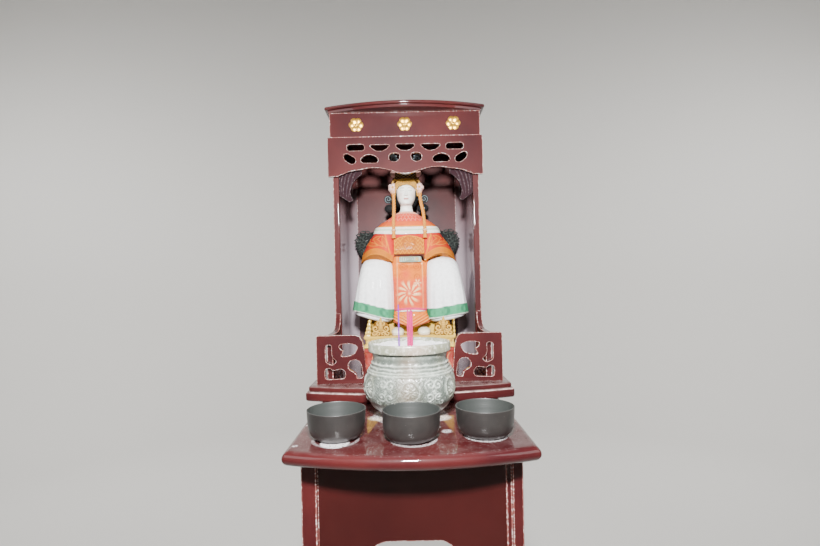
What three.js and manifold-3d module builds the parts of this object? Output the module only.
// Lacquered shrine: an altar table that carries a niche with a seated glazed figure, and in front
// of it a carved stone incense burner and three bowls.
// Millimetres, +Z up, the front faces -Y, origin on the floor under the middle of the whole.
// Inside this file Y counts back from the table's front corners, and Z from the floor.

import * as THREE from 'three';
import { mergeVertices } from 'three/addons/utils/BufferGeometryUtils.js';
import Module from 'manifold-3d';

const wasm = await Module();
wasm.setup();

// Air left between two pieces that touch
const GAP = 0.3;

// Altar table
const TABLE_TOP_Z = 1080;
const TABLE_TOP_THICK = 24;
const TABLE_HALF_WIDTH = 209.5;
const TABLE_BACK_Y = 800;
const TABLE_BOW = 34;
const TABLE_NOSE = 9;
const BODY_HALF_WIDTH = 190;
const BODY_FRONT_Y = 45;
const BODY_BACK_Y = 770;
const LEG_SIZE = 28;
const LEG_ROUND = 5;
const APRON_THICK = 16;
const APRON_INSET = 4;
const APRON_DROP = 236;
const APRON_ARCH_DROP = 149;
const APRON_FOOT = 40;
const APRON_SHOULDER = 60;
const REBATE = 9;
const STRETCHER_SIZE = 24;
const STRETCHER_Z = 140;

// Niche base slab
const SLAB_THICK = 33;
const SLAB_HALF_WIDTH = 243;
const SLAB_FRONT_Y = 339;
const SLAB_BACK_Y = 792;
const SLAB_BOW = 39;
const SLAB_UPPER_TIER = 11;
const SLAB_UPPER_INSET = 6;
const SLAB_TOP_Z = TABLE_TOP_Z + GAP + SLAB_THICK;

// Fretted guard on the slab
const GUARD_FRONT_Y = 367;
const GUARD_THICK = 14;
const GUARD_OUTER_X = 221.7;
const GUARD_HEIGHT = 115.6;
const GUARD_FOOT_WIDTH = 120;
const GUARD_TOP_WIDTH = 94;
const RAIL_THICK = 14;
const RAIL_SWEEP_HEIGHT = 160;
const RAIL_SWEEP_LENGTH = 52;

// Niche case
const NICHE_FRONT_Y = 526;
const NICHE_BACK_Y = 767;
const NICHE_HALF_WIDTH = 198.3;
const WALL_THICK = 13;
const POST_DEPTH = 18;
const POST_WIDTH = 16;
const COVE_RADIUS = 30;
const BACK_THICK = 14;
const CASE_TOP_Z = 1814.5;
const CEILING_Z = 1765;
const CEILING_THICK = 12;

// Valance, frieze and cornice across the front
const FRONT_BOARD_THICK = 12;
const VALANCE_HALF_WIDTH = 209;
const VALANCE_BOTTOM_Z = 1642.5;
const VALANCE_TOP_Z = 1747;
const FRIEZE_HALF_WIDTH = 203;
const CORNICE_HALF_WIDTH = 216;
const CORNICE_TOP_Z = 1830;
const CORNICE_FRONT_Y = 512;
const CORNICE_BOW = 40;
const FLOWER_RADIUS = 21;
const FLOWER_SPACING = 131;
const FLOWER_DEPTH = 4;

// Seated figure
const PLINTH_HALF_WIDTH = 130;
const PLINTH_TOP_Z = 1173;
const THRONE_X = 2;
const THRONE_HALF_WIDTH = 128;
const SEAT_HALF_WIDTH = 118;
const SEAT_STEP_Z = 1206;
const SEAT_TOP_Z = 1250;
const SHOE_TOP_Z = 1227;
const SEAT_FRONT_Y = 545;
const SEAT_STEP_Y = 605;
const SEAT_BACK_Y = 703;
const THRONE_BACK_HALF_WIDTH = 112;
const THRONE_BACK_Y = 717.3;
const THRONE_BACK_THICK = 22;
const LAP_X = 6;
const WAIST_Z = 1430;
const SHOULDER_Z = 1500;
const NECK_Z = 1562;
const BROW_Z = 1650;
const FIGURE_Y = 640;
const TEMPLE_X = 39;
const TEMPLE_Y = 618;
const TEMPLE_Z = BROW_Z - 13;
const TEMPLE_RADIUS = 12;
const TASSEL_RADIUS = 4.2;

// Incense burner
const BURNER_Y = 207.5;
const BURNER_RIM_RADIUS = 83.7;
const BURNER_HEIGHT = 150;
const BURNER_FLOOR_Z = 30;
const BURNER_HOLLOW_TURN = 18;
const BURNER_BORE_RADIUS = 72;
const BURNER_BORE_TOP_Z = 124;
const BURNER_MOUTH_RADIUS = 78;
const BURNER_MOUTH_Z = 131;
const ASH_Z = 142;
const ASH_HEAP = 4;
const STICK_RADIUS = 1.5;
const STICK_TOP_Z = 229;
const STICK_SUNK = 30;

// Bowls
const BOWL_RADIUS = 51.5;
const BOWL_HEIGHT = 51;
const BOWL_SPACING = 130;
const SIDE_BOWL_Y = 71;
const MIDDLE_BOWL_Y = 56;

// Materials
const paint = (color, roughness, metalness = 0) =>
  new THREE.MeshStandardMaterial({ color, roughness, metalness });
const LACQUER = paint('#5e2226', 0.25);
const GILT = paint('#c79a3c', 0.4, 0.9);
const STONE = paint('#8e958c', 0.7);
const ASH = paint('#c9c6c2', 1);
const CLAY = paint('#4b4a49', 0.5);
const PINK_STICK = paint('#d2508c', 0.9);
const ORANGE_GLAZE = paint('#d0572f', 0.3);
const WHITE_GLAZE = paint('#dfe0dc', 0.25);
const CREAM_GLAZE = paint('#d9bd7c', 0.35);
const RED_GLAZE = paint('#b5322a', 0.3);
const BLACK_GLAZE = paint('#25282a', 0.3);
const JADE_GLAZE = paint('#b9c9b4', 0.3);

const group = new THREE.Group();

// Adds one piece to the group under its name
function add(name, geometry, material, place = [0, 0, 0]) {
  const mesh = new THREE.Mesh(geometry, material);
  mesh.name = name;
  mesh.position.set(...place);
  group.add(mesh);
  return mesh;
}

// Keeps positions only, shares vertices and drops triangles that have closed up
function weld(geometry) {
  const bare = new THREE.BufferGeometry();
  bare.setAttribute('position', geometry.getAttribute('position').clone());
  if (geometry.index) bare.setIndex(geometry.index.clone());
  const merged = mergeVertices(bare, 1e-3);
  const corners = merged.index.array;
  const kept = [];
  for (let i = 0; i < corners.length; i += 3) {
    const [a, b, c] = [corners[i], corners[i + 1], corners[i + 2]];
    if (a !== b && b !== c && c !== a) kept.push(a, b, c);
  }
  merged.setIndex(kept);
  return merged;
}

// Turns the faces round when the body is inside out
function outward(geometry) {
  const merged = weld(geometry);
  const spots = merged.getAttribute('position');
  const corners = merged.index.array;
  const [a, b, c] = [new THREE.Vector3(), new THREE.Vector3(), new THREE.Vector3()];
  let volume = 0;
  for (let i = 0; i < corners.length; i += 3) {
    a.fromBufferAttribute(spots, corners[i]);
    b.fromBufferAttribute(spots, corners[i + 1]);
    c.fromBufferAttribute(spots, corners[i + 2]);
    volume += a.dot(b.cross(c));
  }
  if (volume < 0) {
    for (let i = 0; i < corners.length; i += 3) {
      [corners[i], corners[i + 1]] = [corners[i + 1], corners[i]];
    }
  }
  return merged;
}

// A geometry as a solid that can be joined or cut
function solid(geometry) {
  const merged = outward(geometry);
  return new wasm.Manifold(new wasm.Mesh({
    numProp: 3,
    vertProperties: new Float32Array(merged.getAttribute('position').array),
    triVerts: new Uint32Array(merged.index.array),
  }));
}

// A joined or cut solid as a geometry
function shaped(body) {
  const mesh = body.getMesh();
  const geometry = new THREE.BufferGeometry();
  geometry.setAttribute('position', new THREE.BufferAttribute(new Float32Array(mesh.vertProperties), 3));
  geometry.setIndex(new THREE.BufferAttribute(new Uint32Array(mesh.triVerts), 1));
  return geometry;
}

const join = (...parts) => shaped(parts.map(solid).reduce((whole, part) => whole.add(part)));
const cut = (base, ...tools) => (
  shaped(tools.map(solid).reduce((whole, tool) => whole.subtract(tool), solid(base)))
);

// A block between two corners
function block(x0, x1, y0, y1, z0, z1) {
  return new THREE.BoxGeometry(x1 - x0, y1 - y0, z1 - z0)
    .translate((x0 + x1) / 2, (y0 + y1) / 2, (z0 + z1) / 2);
}

// A block on the left (-1) or right (1) side, between two distances from the middle
function sideBlock(side, inner, outer, y0, y1, z0, z1) {
  return block(Math.min(side * inner, side * outer), Math.max(side * inner, side * outer), y0, y1, z0, z1);
}

// An outline in plan raised from z0 to z1, its edges rounded by nose
function raised(shape, z0, z1, nose = 0, rounds = 3) {
  return new THREE.ExtrudeGeometry(shape, {
    depth: z1 - z0 - 2 * nose,
    bevelEnabled: nose > 0,
    bevelThickness: nose,
    bevelSize: nose,
    bevelOffset: -nose,
    bevelSegments: rounds,
    curveSegments: 12,
  }).translate(0, 0, z0 + nose);
}

// An outline seen from the front, with z as its height, standing from y0 back to y1
function board(shape, y0, y1, curveSegments = 6) {
  return new THREE.ExtrudeGeometry(shape, { depth: y1 - y0, bevelEnabled: false, curveSegments })
    .rotateX(Math.PI / 2)
    .translate(0, y1, 0);
}

// An outline seen from the right side, y across and z up, standing from x0 to x1
function sideBoard(shape, x0, x1, curveSegments = 6) {
  return new THREE.ExtrudeGeometry(shape, { depth: x1 - x0, bevelEnabled: false, curveSegments })
    .rotateX(Math.PI / 2)
    .rotateZ(Math.PI / 2)
    .translate(x0, 0, 0);
}

// A profile of [radius, height] points turned about the vertical axis
function turned(profile, segments = 40) {
  const points = profile.map(([radius, height]) => new THREE.Vector2(radius, height));
  return new THREE.LatheGeometry(points, segments).rotateX(Math.PI / 2);
}

// A lathe form whose rings are pulled to the sections { z, a, b, x, y, n }:
// half width a and half depth b about (x, y), a superellipse of power n
function lofted(sections, segments = 28) {
  const rings = [sections[0], ...sections, sections[sections.length - 1]];
  const onAxis = (i) => i === 0 || i === rings.length - 1;
  const profile = rings.map((ring, i) => new THREE.Vector2(onAxis(i) ? 0 : 1, ring.z));
  const geometry = new THREE.LatheGeometry(profile, segments);
  const spots = geometry.getAttribute('position');
  for (let i = 0; i < spots.count; i += 1) {
    const row = i % rings.length;
    const turn = 2 * Math.PI * Math.floor(i / rings.length) / segments;
    const { z, a, b, x = 0, y = FIGURE_Y, n = 2 } = rings[row];
    const reach = profile[row].x;
    const across = Math.sign(Math.cos(turn)) * Math.abs(Math.cos(turn)) ** (2 / n);
    const along = Math.sign(Math.sin(turn)) * Math.abs(Math.sin(turn)) ** (2 / n);
    spots.setXYZ(i, x + reach * a * across, y + reach * b * along, z);
  }
  return geometry;
}

// A round rod along a smooth line through the points
function rod(points, radius, steps, sides = 8) {
  const section = new THREE.Shape();
  section.absarc(0, 0, radius, 0, 2 * Math.PI);
  const path = new THREE.CatmullRomCurve3(points.map((point) => new THREE.Vector3(...point)));
  return new THREE.ExtrudeGeometry(section, { steps, extrudePath: path, curveSegments: sides / 2 });
}

// A plan outline with a bowed front edge between the corners (-half, frontY) and (half, frontY)
function bowedPlan(half, frontY, backY, bow) {
  const radius = (half * half + bow * bow) / (2 * bow);
  const sweep = Math.asin(half / radius);
  const plan = new THREE.Shape();
  plan.absarc(0, frontY - bow + radius, radius, -Math.PI / 2 - sweep, -Math.PI / 2 + sweep);
  plan.lineTo(half, backY);
  plan.lineTo(-half, backY);
  return plan;
}

function polygon(points) {
  return new THREE.Shape(points.map(([x, y]) => new THREE.Vector2(x, y)));
}

// Draws a line of curves across the shape from left to right, mirrored about the middle. It is at
// the given height there, and half lists its curves outwards from the middle: where each one ends
// and the point that it bends towards, all heights counted from the foot
function waveAcross(shape, foot, height, half) {
  const outwards = [{ x: 0, z: height }, ...half];
  const outermost = outwards[half.length];
  shape.lineTo(-outermost.x, foot + outermost.z);
  for (let i = half.length; i > 0; i -= 1) {
    const { bendX, bendZ } = outwards[i];
    const { x, z } = outwards[i - 1];
    shape.quadraticCurveTo(-bendX, foot + bendZ, -x, foot + z);
  }
  for (const { x, z, bendX, bendZ } of half) {
    shape.quadraticCurveTo(bendX, foot + bendZ, x, foot + z);
  }
}

// A closed outline through the points, each corner rounded off by up to the given reach
function softened(points, reach) {
  const corners = points.map(([x, y]) => new THREE.Vector2(x, y));
  const path = new THREE.Path();
  corners.forEach((corner, i) => {
    const before = corners[(i + corners.length - 1) % corners.length];
    const after = corners[(i + 1) % corners.length];
    const enter = corner.clone().lerp(before, Math.min(0.48, reach / corner.distanceTo(before)));
    const leave = corner.clone().lerp(after, Math.min(0.48, reach / corner.distanceTo(after)));
    if (i === 0) path.moveTo(enter.x, enter.y);
    else path.lineTo(enter.x, enter.y);
    path.quadraticCurveTo(corner.x, corner.y, leave.x, leave.y);
  });
  return path;
}

// Altar table: top, legs, arched aprons and stretchers

const tableUnderside = TABLE_TOP_Z - TABLE_TOP_THICK;

add('table_top', raised(
  bowedPlan(TABLE_HALF_WIDTH, 0, TABLE_BACK_Y, TABLE_BOW), tableUnderside, TABLE_TOP_Z, TABLE_NOSE,
), LACQUER);

const legCentreX = BODY_HALF_WIDTH - LEG_SIZE / 2;
const LEG_PLACES = [
  // name, side of centre, y of its centre, rebate along its inner front edge
  ['table_leg_front_left', -1, BODY_FRONT_Y + LEG_SIZE / 2, 0],
  ['table_leg_front_right', 1, BODY_FRONT_Y + LEG_SIZE / 2, REBATE],
  ['table_leg_back_left', -1, BODY_BACK_Y - LEG_SIZE / 2, 0],
  ['table_leg_back_right', 1, BODY_BACK_Y - LEG_SIZE / 2, 0],
];
for (const [name, side, y, rebate] of LEG_PLACES) {
  const corner = new THREE.Shape();
  const half = LEG_SIZE / 2;
  const turn = half - LEG_ROUND;
  corner.moveTo(-half + (rebate || LEG_ROUND), -half);
  corner.lineTo(turn, -half);
  corner.quadraticCurveTo(half, -half, half, -turn);
  corner.lineTo(half, turn);
  corner.quadraticCurveTo(half, half, turn, half);
  corner.lineTo(-turn, half);
  corner.quadraticCurveTo(-half, half, -half, turn);
  if (rebate) {
    corner.lineTo(-half, -half + rebate);
    corner.lineTo(-half + rebate, -half + rebate);
  } else {
    corner.lineTo(-half, -turn);
    corner.quadraticCurveTo(-half, -half, -turn, -half);
  }
  const leg = new THREE.ExtrudeGeometry(corner, {
    depth: tableUnderside - GAP, bevelEnabled: false, curveSegments: 2,
  });
  add(name, leg, LACQUER, [side * legCentreX, y, 0]);
}

// An apron board of the given half length, its lower edge arched up to the arch drop
function apronShape(half) {
  const top = tableUnderside - GAP;
  const foot = tableUnderside - APRON_DROP;
  const arch = tableUnderside - APRON_ARCH_DROP;
  const shoulder = foot + APRON_SHOULDER;
  const archFoot = half - APRON_FOOT;
  const archHead = half * 0.28;
  const shape = new THREE.Shape();
  shape.moveTo(-half, top);
  shape.lineTo(-half, foot);
  shape.lineTo(-archFoot, foot);
  shape.quadraticCurveTo(-archFoot + 6, shoulder - 10, -archHead - 36, shoulder);
  shape.quadraticCurveTo(-archHead - 20, arch - 2, -archHead, arch);
  shape.lineTo(archHead, arch);
  shape.quadraticCurveTo(archHead + 20, arch - 2, archHead + 36, shoulder);
  shape.quadraticCurveTo(archFoot - 6, shoulder - 10, archFoot, foot);
  shape.lineTo(half, foot);
  shape.lineTo(half, top);
  return shape;
}

const frontHalf = BODY_HALF_WIDTH - LEG_SIZE - GAP;
const sideHalf = (BODY_BACK_Y - BODY_FRONT_Y) / 2 - LEG_SIZE - GAP;
const bodyMiddleY = (BODY_FRONT_Y + BODY_BACK_Y) / 2;

add('front_apron', board(
  apronShape(frontHalf), BODY_FRONT_Y + APRON_INSET, BODY_FRONT_Y + APRON_INSET + APRON_THICK,
), LACQUER);
add('back_apron', board(
  apronShape(frontHalf), BODY_BACK_Y - APRON_INSET - APRON_THICK, BODY_BACK_Y - APRON_INSET,
), LACQUER);
for (const [name, side] of [['left_apron', -1], ['right_apron', 1]]) {
  const innerX = side * (BODY_HALF_WIDTH - APRON_INSET - APRON_THICK / 2);
  const apron = sideBoard(apronShape(sideHalf), -APRON_THICK / 2, APRON_THICK / 2);
  add(name, apron, LACQUER, [innerX, bodyMiddleY, 0]);
}

const stretcherHalf = STRETCHER_SIZE / 2;
for (const [name, side] of [['left_stretcher', -1], ['right_stretcher', 1]]) {
  add(name, new THREE.BoxGeometry(STRETCHER_SIZE, 2 * sideHalf, STRETCHER_SIZE), LACQUER,
    [side * legCentreX, bodyMiddleY, STRETCHER_Z]);
}
const crossHalf = legCentreX - stretcherHalf - GAP;
add('cross_stretcher', new THREE.BoxGeometry(2 * crossHalf, STRETCHER_SIZE, STRETCHER_SIZE), LACQUER,
  [0, bodyMiddleY, STRETCHER_Z]);

// Niche base slab: a thin tier over a thicker one, both bowed

add('niche_slab', join(
  raised(bowedPlan(SLAB_HALF_WIDTH, SLAB_FRONT_Y, SLAB_BACK_Y, SLAB_BOW),
    TABLE_TOP_Z + GAP, SLAB_TOP_Z - SLAB_UPPER_TIER + 2, 6),
  raised(bowedPlan(SLAB_HALF_WIDTH - SLAB_UPPER_INSET, SLAB_FRONT_Y + SLAB_UPPER_INSET,
    SLAB_BACK_Y - SLAB_UPPER_INSET, SLAB_BOW), SLAB_TOP_Z - SLAB_UPPER_TIER, SLAB_TOP_Z, 2.5, 2),
), LACQUER);

// Fretted guard: two front panels, and side rails that sweep up to the posts

const onSlab = SLAB_TOP_Z + GAP;

// Cloud-shaped cut-outs of a guard panel, each a list of [inward, up] from its outer foot
const FRET_REACH = 6;
const GUARD_FRETS = [
  [[22, 92], [37, 93], [36, 72], [38, 62], [49, 54], [38, 44], [22, 52]],
  [[54, 93], [66, 95], [86, 95], [100, 87], [90, 70], [72, 65], [57, 65], [66, 78], [55, 84]],
  [[20, 36], [32, 38], [38, 31], [60, 36], [69, 28], [68, 13], [44, 11], [20, 11]],
  [[75, 47], [84, 57], [99, 56], [107, 46], [111, 14], [95, 11], [95, 22], [86, 29], [76, 34]],
];

function guardPanel(side) {
  const at = (inward, up) => [side * (GUARD_OUTER_X - inward), onSlab + up];
  const shape = new THREE.Shape();
  shape.moveTo(...at(0, 0));
  shape.lineTo(...at(GUARD_FOOT_WIDTH, 0));
  shape.lineTo(...at(GUARD_FOOT_WIDTH - 6, GUARD_HEIGHT * 0.7));
  shape.quadraticCurveTo(...at(GUARD_FOOT_WIDTH - 9, GUARD_HEIGHT), ...at(GUARD_TOP_WIDTH, GUARD_HEIGHT));
  shape.lineTo(...at(3, GUARD_HEIGHT));
  shape.lineTo(...at(0, GUARD_HEIGHT - 3));
  for (const fret of GUARD_FRETS) {
    shape.holes.push(softened(fret.map(([inward, up]) => at(inward, up)), FRET_REACH));
  }
  return board(shape, GUARD_FRONT_Y, GUARD_FRONT_Y + GUARD_THICK, 3);
}
add('left_guard_panel', guardPanel(-1), LACQUER);
add('right_guard_panel', guardPanel(1), LACQUER);

const railFrontY = GUARD_FRONT_Y + GUARD_THICK + GAP;
const railBackY = NICHE_FRONT_Y - GAP;
const sweepFrontY = railBackY - RAIL_SWEEP_LENGTH;
const railShape = new THREE.Shape();
railShape.moveTo(railFrontY, onSlab);
railShape.lineTo(railBackY, onSlab);
railShape.lineTo(railBackY, onSlab + RAIL_SWEEP_HEIGHT);
railShape.quadraticCurveTo(railBackY - 10, onSlab + GUARD_HEIGHT, sweepFrontY, onSlab + GUARD_HEIGHT);
railShape.lineTo(railFrontY, onSlab + GUARD_HEIGHT);

// Two cut-outs alike, each a list of [back, up] from the middle of its foot
const RAIL_FRET = [
  [-18, 30], [-18, 58], [-8, 66], [-14, 82], [8, 86], [18, 74], [10, 60], [18, 46], [8, 26],
];
for (const place of [38, 94]) {
  const outline = RAIL_FRET.map(([back, up]) => [railFrontY + place + back, onSlab + up]);
  railShape.holes.push(softened(outline, FRET_REACH));
}
const railOuterX = NICHE_HALF_WIDTH;
add('left_side_rail', sideBoard(railShape, -railOuterX, -railOuterX + RAIL_THICK, 3), LACQUER);
add('right_side_rail', sideBoard(railShape, railOuterX - RAIL_THICK, railOuterX, 3), LACQUER);

// Niche case: coved side walls with front posts, back panel and ceiling

function wallPlan(side) {
  const outer = NICHE_HALF_WIDTH;
  const inner = outer - WALL_THICK;
  const back = NICHE_BACK_Y - BACK_THICK - GAP;
  const plan = new THREE.Shape();
  plan.moveTo(side * outer, NICHE_FRONT_Y);
  plan.lineTo(side * (outer - POST_WIDTH + 3), NICHE_FRONT_Y);
  plan.quadraticCurveTo(side * (outer - POST_WIDTH), NICHE_FRONT_Y,
    side * (outer - POST_WIDTH), NICHE_FRONT_Y + 3);
  plan.lineTo(side * (outer - POST_WIDTH), NICHE_FRONT_Y + POST_DEPTH);
  plan.lineTo(side * inner, NICHE_FRONT_Y + POST_DEPTH);
  plan.lineTo(side * inner, back - COVE_RADIUS);
  plan.quadraticCurveTo(side * inner, back, side * (inner - COVE_RADIUS), back);
  plan.lineTo(side * outer, back);
  return plan;
}
for (const [name, side] of [['left_niche_wall', -1], ['right_niche_wall', 1]]) {
  add(name, raised(wallPlan(side), onSlab, CASE_TOP_Z - GAP), LACQUER);
}
add('back_panel', block(-NICHE_HALF_WIDTH, NICHE_HALF_WIDTH, NICHE_BACK_Y - BACK_THICK, NICHE_BACK_Y,
  onSlab, CASE_TOP_Z - GAP), LACQUER);

const ceilingHalf = NICHE_HALF_WIDTH - POST_WIDTH - GAP;
add('ceiling_board', block(-ceilingHalf, ceilingHalf, NICHE_FRONT_Y, NICHE_BACK_Y - BACK_THICK - COVE_RADIUS,
  CEILING_Z, CEILING_Z + CEILING_THICK), LACQUER);

// Ogee brackets in the upper corners of the opening, measured inwards from the post and up
const BRACKET_DROP = 68;
const BRACKET_HEIGHT = 92;
const BRACKET_REACH = 62;
const BRACKET_CURVES = [
  { x: 38, z: 8, bendX: 30, bendZ: -4 },
  { x: 30, z: 30, bendX: 30, bendZ: 16 },
  { x: BRACKET_REACH, z: 76, bendX: 34, bendZ: 60 },
];
for (const [name, side] of [['left_corner_bracket', -1], ['right_corner_bracket', 1]]) {
  const foot = VALANCE_BOTTOM_Z - BRACKET_DROP;
  const at = (inward, up) => [side * (NICHE_HALF_WIDTH - POST_WIDTH - GAP - inward), foot + up];
  const shape = new THREE.Shape();
  shape.moveTo(...at(0, 20));
  shape.lineTo(...at(20, 6));
  for (const { x, z, bendX, bendZ } of BRACKET_CURVES) {
    shape.quadraticCurveTo(...at(bendX, bendZ), ...at(x, z));
  }
  shape.lineTo(...at(BRACKET_REACH, BRACKET_HEIGHT));
  shape.lineTo(...at(0, BRACKET_HEIGHT));
  add(name, board(shape, NICHE_FRONT_Y + 4, NICHE_FRONT_Y + 14), LACQUER);
}

// Valance with two rows of cut-outs over a scalloped lower edge

const frontBoardY = NICHE_FRONT_Y - FRONT_BOARD_THICK - GAP;
const valanceMiddle = (VALANCE_BOTTOM_Z + VALANCE_TOP_Z) / 2;

// The lower edge's scallops, measured up from the board's bottom
const VALANCE_WAVE_LIFT = 5.5;
const VALANCE_WAVE = [
  { x: 18, z: 7, bendX: 9, bendZ: 5 },
  { x: 70, z: 21, bendX: 44, bendZ: 16 },
  { x: 122, z: 17, bendX: 96, bendZ: 24 },
  { x: 160, z: 10, bendX: 146, bendZ: 15 },
  { x: 171, z: 5, bendX: 166, bendZ: 6 },
  { x: 182, z: 0, bendX: 178, bendZ: 4 },
];
const valance = new THREE.Shape();
valance.moveTo(VALANCE_HALF_WIDTH, VALANCE_BOTTOM_Z);
valance.lineTo(VALANCE_HALF_WIDTH, VALANCE_TOP_Z);
valance.lineTo(-VALANCE_HALF_WIDTH, VALANCE_TOP_Z);
valance.lineTo(-VALANCE_HALF_WIDTH, VALANCE_BOTTOM_Z);
waveAcross(valance, VALANCE_BOTTOM_Z, VALANCE_WAVE_LIFT, VALANCE_WAVE);

// Cut-outs of the right half and the middle, each a list of [x, height over the board's middle]
const VALANCE_REACH = 7;
const VALANCE_FRETS = [
  [[43, 31], [94, 31], [95, 26], [82, 16], [69, 13], [56, 16], [43, 26]],
  [[112, 33], [156, 33], [158, 24], [155, 16], [112, 16], [109, 24]],
  [[16, 6], [24, 9], [38, 8], [45, 1], [44, -10], [34, -16], [22, -14], [15, -5]],
  [[72, -8], [82, 2], [100, 6], [114, 1], [122, -10], [116, -17], [76, -18]],
  [[134, -16], [134, -4], [148, 4], [156, 9], [167, 7], [166, -6], [152, -18], [142, -20]],
];
const MIDDLE_FRET = [[-25, 32], [25, 32], [26, 26], [13, 16], [0, 14], [-13, 16], [-26, 26]];
const mirrored = VALANCE_FRETS.map((fret) => fret.map(([x, z]) => [-x, z]));
for (const fret of [MIDDLE_FRET, ...VALANCE_FRETS, ...mirrored]) {
  valance.holes.push(softened(fret.map(([x, z]) => [x, valanceMiddle + z]), VALANCE_REACH));
}
add('fret_valance', board(valance, frontBoardY, frontBoardY + FRONT_BOARD_THICK, 3), LACQUER);

add('frieze_board', block(-FRIEZE_HALF_WIDTH, FRIEZE_HALF_WIDTH, frontBoardY + 2, NICHE_FRONT_Y - GAP,
  VALANCE_TOP_Z + GAP, CASE_TOP_Z - GAP), LACQUER);

// Three gilt flowers on the frieze
const friezeMiddle = (VALANCE_TOP_Z + CASE_TOP_Z) / 2;
const flower = new THREE.Shape();
for (let petal = 0; petal < 6; petal += 1) {
  const start = petal * Math.PI / 3;
  const notch = FLOWER_RADIUS * 0.72;
  if (petal === 0) flower.moveTo(notch, 0);
  const tip = 1.25 * FLOWER_RADIUS;
  const middle = start + Math.PI / 6;
  const end = start + Math.PI / 3;
  flower.quadraticCurveTo(tip * Math.cos(middle), tip * Math.sin(middle),
    notch * Math.cos(end), notch * Math.sin(end));
}
for (const [name, place] of [
  ['left_frieze_flower', -1],
  ['middle_frieze_flower', 0],
  ['right_frieze_flower', 1],
]) {
  add(name, board(flower, -FLOWER_DEPTH, 0, 5), GILT,
    [place * FLOWER_SPACING, frontBoardY + 2 - GAP, friezeMiddle]);
}

// Cornice: a bowed nosing over a smaller bowed cove board
const corniceBottom = CASE_TOP_Z + GAP;
const corniceStep = (corniceBottom + CORNICE_TOP_Z) / 2;
add('cornice', join(
  raised(bowedPlan(CORNICE_HALF_WIDTH, CORNICE_FRONT_Y, NICHE_BACK_Y + 8, CORNICE_BOW),
    corniceStep - 1, CORNICE_TOP_Z, 3.5, 2),
  raised(bowedPlan(CORNICE_HALF_WIDTH - 8, CORNICE_FRONT_Y + 2, NICHE_BACK_Y, CORNICE_BOW - 5),
    corniceBottom, corniceStep),
), LACQUER);

// Seated figure, from the plinth up

add('figure_plinth', raised(polygon([
  [-PLINTH_HALF_WIDTH, SEAT_FRONT_Y - 5], [PLINTH_HALF_WIDTH, SEAT_FRONT_Y - 5],
  [PLINTH_HALF_WIDTH, SEAT_BACK_Y + 40], [-PLINTH_HALF_WIDTH, SEAT_BACK_Y + 40],
]), onSlab, PLINTH_TOP_Z, 3, 2), RED_GLAZE);

// The throne's base carries the seat block, and beside the feet a cheek that leans out to its foot
const onPlinth = PLINTH_TOP_Z + GAP;
const cheek = (side, inner, head, foot) => board(polygon([
  [side * inner, SEAT_STEP_Z - 1], [side * foot, SEAT_STEP_Z - 1],
  [side * head, SEAT_TOP_Z], [side * inner, SEAT_TOP_Z],
]), SEAT_FRONT_Y + 3, SEAT_STEP_Y + 1);
add('throne_seat', join(
  block(THRONE_X - THRONE_HALF_WIDTH, THRONE_X + THRONE_HALF_WIDTH, SEAT_FRONT_Y, SEAT_BACK_Y,
    onPlinth, SEAT_STEP_Z),
  block(THRONE_X - SEAT_HALF_WIDTH, THRONE_X + SEAT_HALF_WIDTH, SEAT_STEP_Y, SEAT_BACK_Y,
    SEAT_STEP_Z - 1, SEAT_TOP_Z),
  cheek(-1, 104, 113, 125), cheek(1, 122.5, 127, 129.5),
), CREAM_GLAZE);

// Carved throne back: a board with a cloud-shaped wing on each side, its heights from the plinth
const THRONE_BACK_CREST = 359;
const THRONE_BACK_CURVES = [
  { x: 118, z: 339, bendX: 60, bendZ: 357 },
  { x: 154, z: 323, bendX: 140, bendZ: 345 },
  { x: 150, z: 273, bendX: 168, bendZ: 297 },
  { x: 116, z: 252, bendX: 140, bendZ: 255 },
];
const throneBack = new THREE.Shape();
throneBack.moveTo(-THRONE_BACK_HALF_WIDTH, onPlinth);
waveAcross(throneBack, PLINTH_TOP_Z, THRONE_BACK_CREST, THRONE_BACK_CURVES);
throneBack.lineTo(THRONE_BACK_HALF_WIDTH, onPlinth);
add('throne_back', board(throneBack, THRONE_BACK_Y, THRONE_BACK_Y + THRONE_BACK_THICK), BLACK_GLAZE);

// A gilt ornament on each side of the feet
for (const [name, x] of [['left_scroll_arm', -78], ['right_scroll_arm', 96]]) {
  add(name, lofted([
    { z: SEAT_STEP_Z + GAP, a: 23, b: 24, x, y: 573, n: 3 },
    { z: 1222, a: 25, b: 27, x, y: 573, n: 3 },
    { z: 1238, a: 23, b: 25, x, y: 574, n: 2.4 },
    { z: SEAT_TOP_Z - GAP, a: 15, b: 20, x, y: 576, n: 2.2 },
  ], 20), GILT);
}

for (const [name, x] of [['left_shoe', LAP_X - 37], ['right_shoe', LAP_X + 37]]) {
  add(name, lofted([
    { z: SEAT_STEP_Z + GAP, a: 17, b: 26, x, y: 573, n: 2.6 },
    { z: 1213, a: 18.5, b: 28, x, y: 573, n: 2.4 },
    { z: 1221, a: 16.5, b: 25, x, y: 575, n: 2.2 },
    { z: SHOE_TOP_Z, a: 10, b: 16, x, y: 580 },
  ], 20), CREAM_GLAZE);
}

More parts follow.
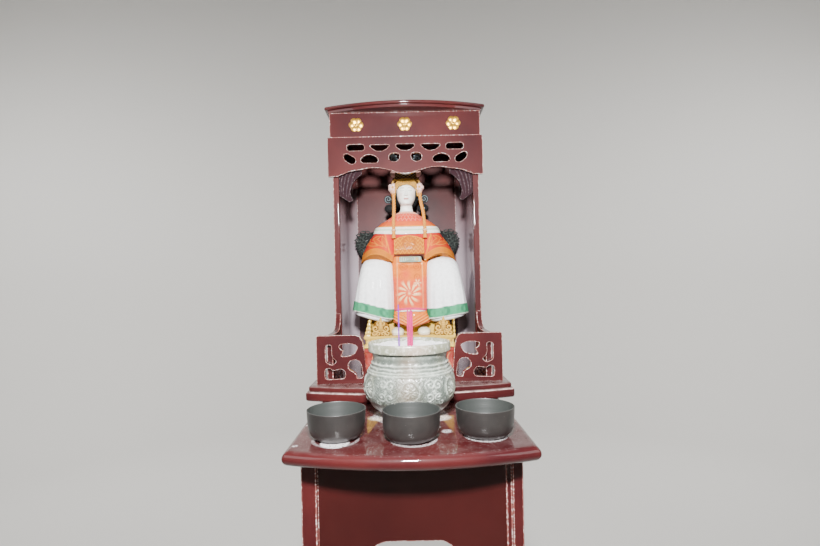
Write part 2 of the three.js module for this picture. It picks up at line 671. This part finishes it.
add('lower_robe', lofted([
  { z: SHOE_TOP_Z + GAP, a: 47, b: 24, x: LAP_X, y: 577, n: 2.6 },
  { z: SEAT_TOP_Z + GAP - 0.1, a: 43, b: 27, x: LAP_X, y: 577, n: 2.6 },
  { z: SEAT_TOP_Z + GAP, a: 42, b: 73, x: LAP_X, y: 622, n: 3 },
  { z: 1330, a: 41.5, b: 74, x: LAP_X, y: 624, n: 3 },
  { z: 1385, a: 41, b: 66, x: LAP_X, y: 632, n: 3 },
  { z: 1404, a: 40.5, b: 60, x: LAP_X, y: 638, n: 3 },
  { z: WAIST_Z - GAP, a: 40, b: 60, x: LAP_X, y: 638, n: 3 },
]), ORANGE_GLAZE);

// Hanging sleeves, each a rounded bell that leans towards the middle as it rises
const SLEEVE_RINGS = [
  { z: SEAT_TOP_Z + GAP, a: 59, b: 66, lean: 0, y: 616, n: 2.8 },
  { z: 1262, a: 60, b: 68, lean: 0, y: 616, n: 2.8 },
  { z: 1330, a: 55, b: 66, lean: 5, y: 618, n: 2.8 },
  { z: 1385, a: 50, b: 61, lean: 10, y: 622, n: 2.7 },
  { z: 1408, a: 45, b: 54, lean: 12, y: 626, n: 2.6 },
  { z: 1421, a: 34, b: 42, lean: 12, y: 628, n: 2.4 },
  { z: WAIST_Z - GAP, a: 12, b: 16, lean: 12, y: 630, n: 2 },
];
for (const [name, side, footX] of [['left_sleeve', -1, 98], ['right_sleeve', 1, 110]]) {
  const rings = SLEEVE_RINGS.map((ring) => ({ ...ring, x: side * (footX - ring.lean) }));
  add(name, lofted(rings), WHITE_GLAZE);
}

add('upper_robe', lofted([
  { z: WAIST_Z, a: 134, b: 62, x: 3, y: 636, n: 2.4 },
  { z: 1448, a: 131, b: 64, x: 2, y: 638, n: 2.4 },
  { z: 1476, a: 115, b: 62, n: 2.4 },
  { z: SHOULDER_Z - GAP, a: 99, b: 58, n: 2.3 },
]), RED_GLAZE);

add('cape_collar', lofted([
  { z: SHOULDER_Z, a: 101, b: 61, n: 2.3 },
  { z: 1514, a: 97, b: 59, n: 2.3 },
  { z: 1530, a: 75, b: 50, n: 2.2 },
  { z: 1548, a: 45, b: 38, n: 2 },
  { z: NECK_Z - GAP, a: 27, b: 26, n: 2 },
]), ORANGE_GLAZE);

const headSections = [
  { z: NECK_Z, a: 19, b: 20 },
  { z: 1577, a: 18, b: 20 },
  { z: 1582, a: 17, b: 26, y: 634 },
  { z: 1592, a: 23, b: 31, y: 634 },
  { z: 1608, a: 27, b: 34, y: 636 },
  { z: 1630, a: 28, b: 36, y: 638 },
  { z: BROW_Z, a: 26, b: 34, y: 640 },
];
add('head', lofted(headSections), WHITE_GLAZE);

// Hair: a cap round the back of the head with a coiled bun below each ear
const grownHead = headSections.map((ring) => ({ ...ring, a: ring.a + GAP, b: ring.b + GAP }));
const hairCap = lofted([
  { z: 1566, a: 24, b: 22, y: 654 },
  { z: 1576, a: 31, b: 30, y: 650 },
  { z: 1590, a: 34, b: 34, y: 648 },
  { z: 1615, a: 36, b: 38, y: 646 },
  { z: 1640, a: 35, b: 38, y: 645 },
  { z: BROW_Z - 0.5, a: 33, b: 36, y: 644 },
]);
const bun = (side) => lofted([
  { z: 1562.5, a: 11, b: 8, x: side * 47, y: 645 },
  { z: 1566, a: 15, b: 11, x: side * 47, y: 645 },
  { z: 1575, a: 18, b: 13, x: side * 47, y: 645 },
  { z: 1584, a: 15, b: 11, x: side * 47, y: 645 },
  { z: 1587.5, a: 11, b: 8, x: side * 47, y: 645 },
], 16);
add('hair', shaped(
  solid(hairCap).add(solid(bun(-1))).add(solid(bun(1)))
    .subtract(solid(lofted(grownHead)))
    .subtract(solid(block(-60, 60, 560, 628, 1560, 1660))),
), BLACK_GLAZE);

// A flat scroll on a short stem beside each ear
const EAR_SCROLL = { radius: 12, thick: 7, x: 53, y: 634.5, z: 1600.5 };
const EAR_STEM = { inner: 33.6, outer: 46, front: 632, back: 637, foot: 1596, head: 1601 };
for (const [name, side] of [['left_ear_scroll', -1], ['right_ear_scroll', 1]]) {
  const { radius, thick, x, y, z } = EAR_SCROLL;
  const disc = new THREE.CylinderGeometry(radius, radius, thick, 24).translate(side * x, y, z);
  const { inner, outer, front, back, foot, head } = EAR_STEM;
  add(name, join(disc, sideBlock(side, inner, outer, front, back, foot, head)), WHITE_GLAZE);
}

// Crown: a gridded band under a dome, an upright scroll and an ear-shaped leaf on each side of it,
// and a flower at each temple
const temple = (side) => new THREE.SphereGeometry(TEMPLE_RADIUS, 12, 8)
  .rotateX(Math.PI / 2)
  .translate(side * TEMPLE_X, TEMPLE_Y, TEMPLE_Z);
const templeArm = (side) => sideBlock(side, TEMPLE_X - 13, TEMPLE_X + 3, TEMPLE_Y - 4, TEMPLE_Y + 6,
  TEMPLE_Z, BROW_Z + 10);
const leaf = (side) => lofted([
  { z: 1662, a: 9, b: 5, x: side * 32, y: 622 },
  { z: 1672, a: 11, b: 6, x: side * 36, y: 620 },
  { z: 1681, a: 8, b: 4, x: side * 38, y: 620 },
], 14);
const upright = (side) => lofted([
  { z: 1690, a: 9, b: 6, x: side * 24, y: 626 },
  { z: 1706, a: 14, b: 7, x: side * 29, y: 624 },
  { z: 1722, a: 13, b: 6, x: side * 31, y: 624 },
  { z: 1732, a: 6, b: 4, x: side * 31, y: 624 },
], 14);
add('crown', join(
  lofted([
    { z: BROW_Z + GAP, a: 34, b: 39, y: 640 },
    { z: 1672, a: 35, b: 40, y: 640 },
    { z: 1694, a: 30, b: 36, y: 642 },
    { z: 1712, a: 18, b: 22, y: 644 },
  ]),
  ...[-1, 1].flatMap((side) => [templeArm(side), temple(side), leaf(side), upright(side)]),
), GILT);

// Tassels from the temple flowers, resting forward over the collar: x at each of six heights
const TASSEL_RUNS = [
  ['left_tassel', [-39, -36, -36, -37, -37, -37]],
  ['right_tassel', [39, 42, 48, 50, 51, 51]],
];
for (const [name, xs] of TASSEL_RUNS) {
  add(name, rod([
    [xs[0], TEMPLE_Y, TEMPLE_Z - TEMPLE_RADIUS - GAP],
    [xs[1], 612, 1590],
    [xs[2], 600, 1556],
    [xs[3], 586, 1530],
    [xs[4], 577, 1510],
    [xs[5], 572.5, 1478],
  ], TASSEL_RADIUS, 12), GILT);
}

const PLAQUE_X = LAP_X + 2;
const PLAQUE_BACK_Y = 578 - GAP;
add('belt_plaque', block(PLAQUE_X - 31, PLAQUE_X + 31, PLAQUE_BACK_Y - 8, PLAQUE_BACK_Y, 1411, 1427),
  JADE_GLAZE);

// Incense burner: a turned stone bowl filled with ash, with stubs of incense in it

const burnerFloor = TABLE_TOP_Z + GAP;
const burnerProfile = [
  [0, 6], [46, 6], [48, 0], [58, 0], [60, 10], [72, 19], [86, 36], [93.9, 61], [92.5, 78], [86, 95],
  [80, 108], [77, 118], [77.5, 123], [BURNER_RIM_RADIUS, 127], [BURNER_RIM_RADIUS, BURNER_HEIGHT - 2],
  [BURNER_RIM_RADIUS - 2, BURNER_HEIGHT], [BURNER_MOUTH_RADIUS, BURNER_HEIGHT],
  [BURNER_MOUTH_RADIUS, BURNER_MOUTH_Z], [BURNER_BORE_RADIUS, BURNER_BORE_TOP_Z],
  [BURNER_BORE_RADIUS, BURNER_FLOOR_Z + BURNER_HOLLOW_TURN],
  [BURNER_BORE_RADIUS - BURNER_HOLLOW_TURN, BURNER_FLOOR_Z], [0, BURNER_FLOOR_Z],
];
add('burner_bowl', outward(turned(burnerProfile, 48)), STONE, [0, BURNER_Y, burnerFloor]);

// Stubs at x and y from the burner's middle, each some way short of the full height
const STICKS = [
  { x: -20.5, y: -8, short: 3 },
  { x: -2.3, y: -14, short: 14 },
  { x: 1, y: -8, short: 17 },
  { x: 4, y: -15, short: 13 },
  { x: 6.5, y: -8, short: 16 },
];
const ashFoot = BURNER_FLOOR_Z + GAP;
const ashWall = BURNER_BORE_RADIUS - GAP;
const ashEdge = BURNER_MOUTH_RADIUS - GAP;
const ash = outward(turned([
  [0, ashFoot], [ashWall - BURNER_HOLLOW_TURN, ashFoot], [ashWall, ashFoot + BURNER_HOLLOW_TURN],
  [ashWall, BURNER_BORE_TOP_Z + GAP], [ashEdge, BURNER_MOUTH_Z + GAP],
  [ashEdge, ASH_Z - ASH_HEAP], [ashEdge * 0.6, ASH_Z], [0, ASH_Z],
], 48));
const stickFoot = ASH_Z - STICK_SUNK;
const socketRadius = STICK_RADIUS + GAP;
const socketDepth = STICK_SUNK + 10;
const socket = ({ x, y }) => new THREE.CylinderGeometry(socketRadius, socketRadius, socketDepth, 8)
  .rotateX(Math.PI / 2)
  .translate(x, y, stickFoot - GAP + socketDepth / 2);
add('burner_ash', cut(ash, ...STICKS.map(socket)), ASH, [0, BURNER_Y, burnerFloor]);
STICKS.forEach(({ x, y, short }, index) => {
  const length = STICK_TOP_Z - short - stickFoot;
  const stick = new THREE.CylinderGeometry(STICK_RADIUS, STICK_RADIUS, length, 8).rotateX(Math.PI / 2);
  add(`incense_stub_${index + 1}`, stick, PINK_STICK,
    [x, BURNER_Y + y, burnerFloor + stickFoot + length / 2]);
});

// Bowls

const BOWL_PROFILE = [
  [0, 0], [31, 0], [39, 3], [46.5, 11], [50, 23], [51, 37], [BOWL_RADIUS, BOWL_HEIGHT],
  [BOWL_RADIUS - 3, BOWL_HEIGHT], [BOWL_RADIUS - 3.5, 37], [BOWL_RADIUS - 5, 23], [42, 11], [32, 5.5],
  [0, 5],
];
for (const [name, place, y] of [
  ['left_bowl', -1, SIDE_BOWL_Y],
  ['middle_bowl', 0, MIDDLE_BOWL_Y],
  ['right_bowl', 1, SIDE_BOWL_Y],
]) {
  add(name, outward(turned(BOWL_PROFILE, 40)), CLAY, [place * BOWL_SPACING, y, TABLE_TOP_Z + GAP]);
}

// The whole stands with its middle over the origin
group.position.set(0, -(TABLE_BACK_Y - TABLE_BOW) / 2, 0);

export default group;
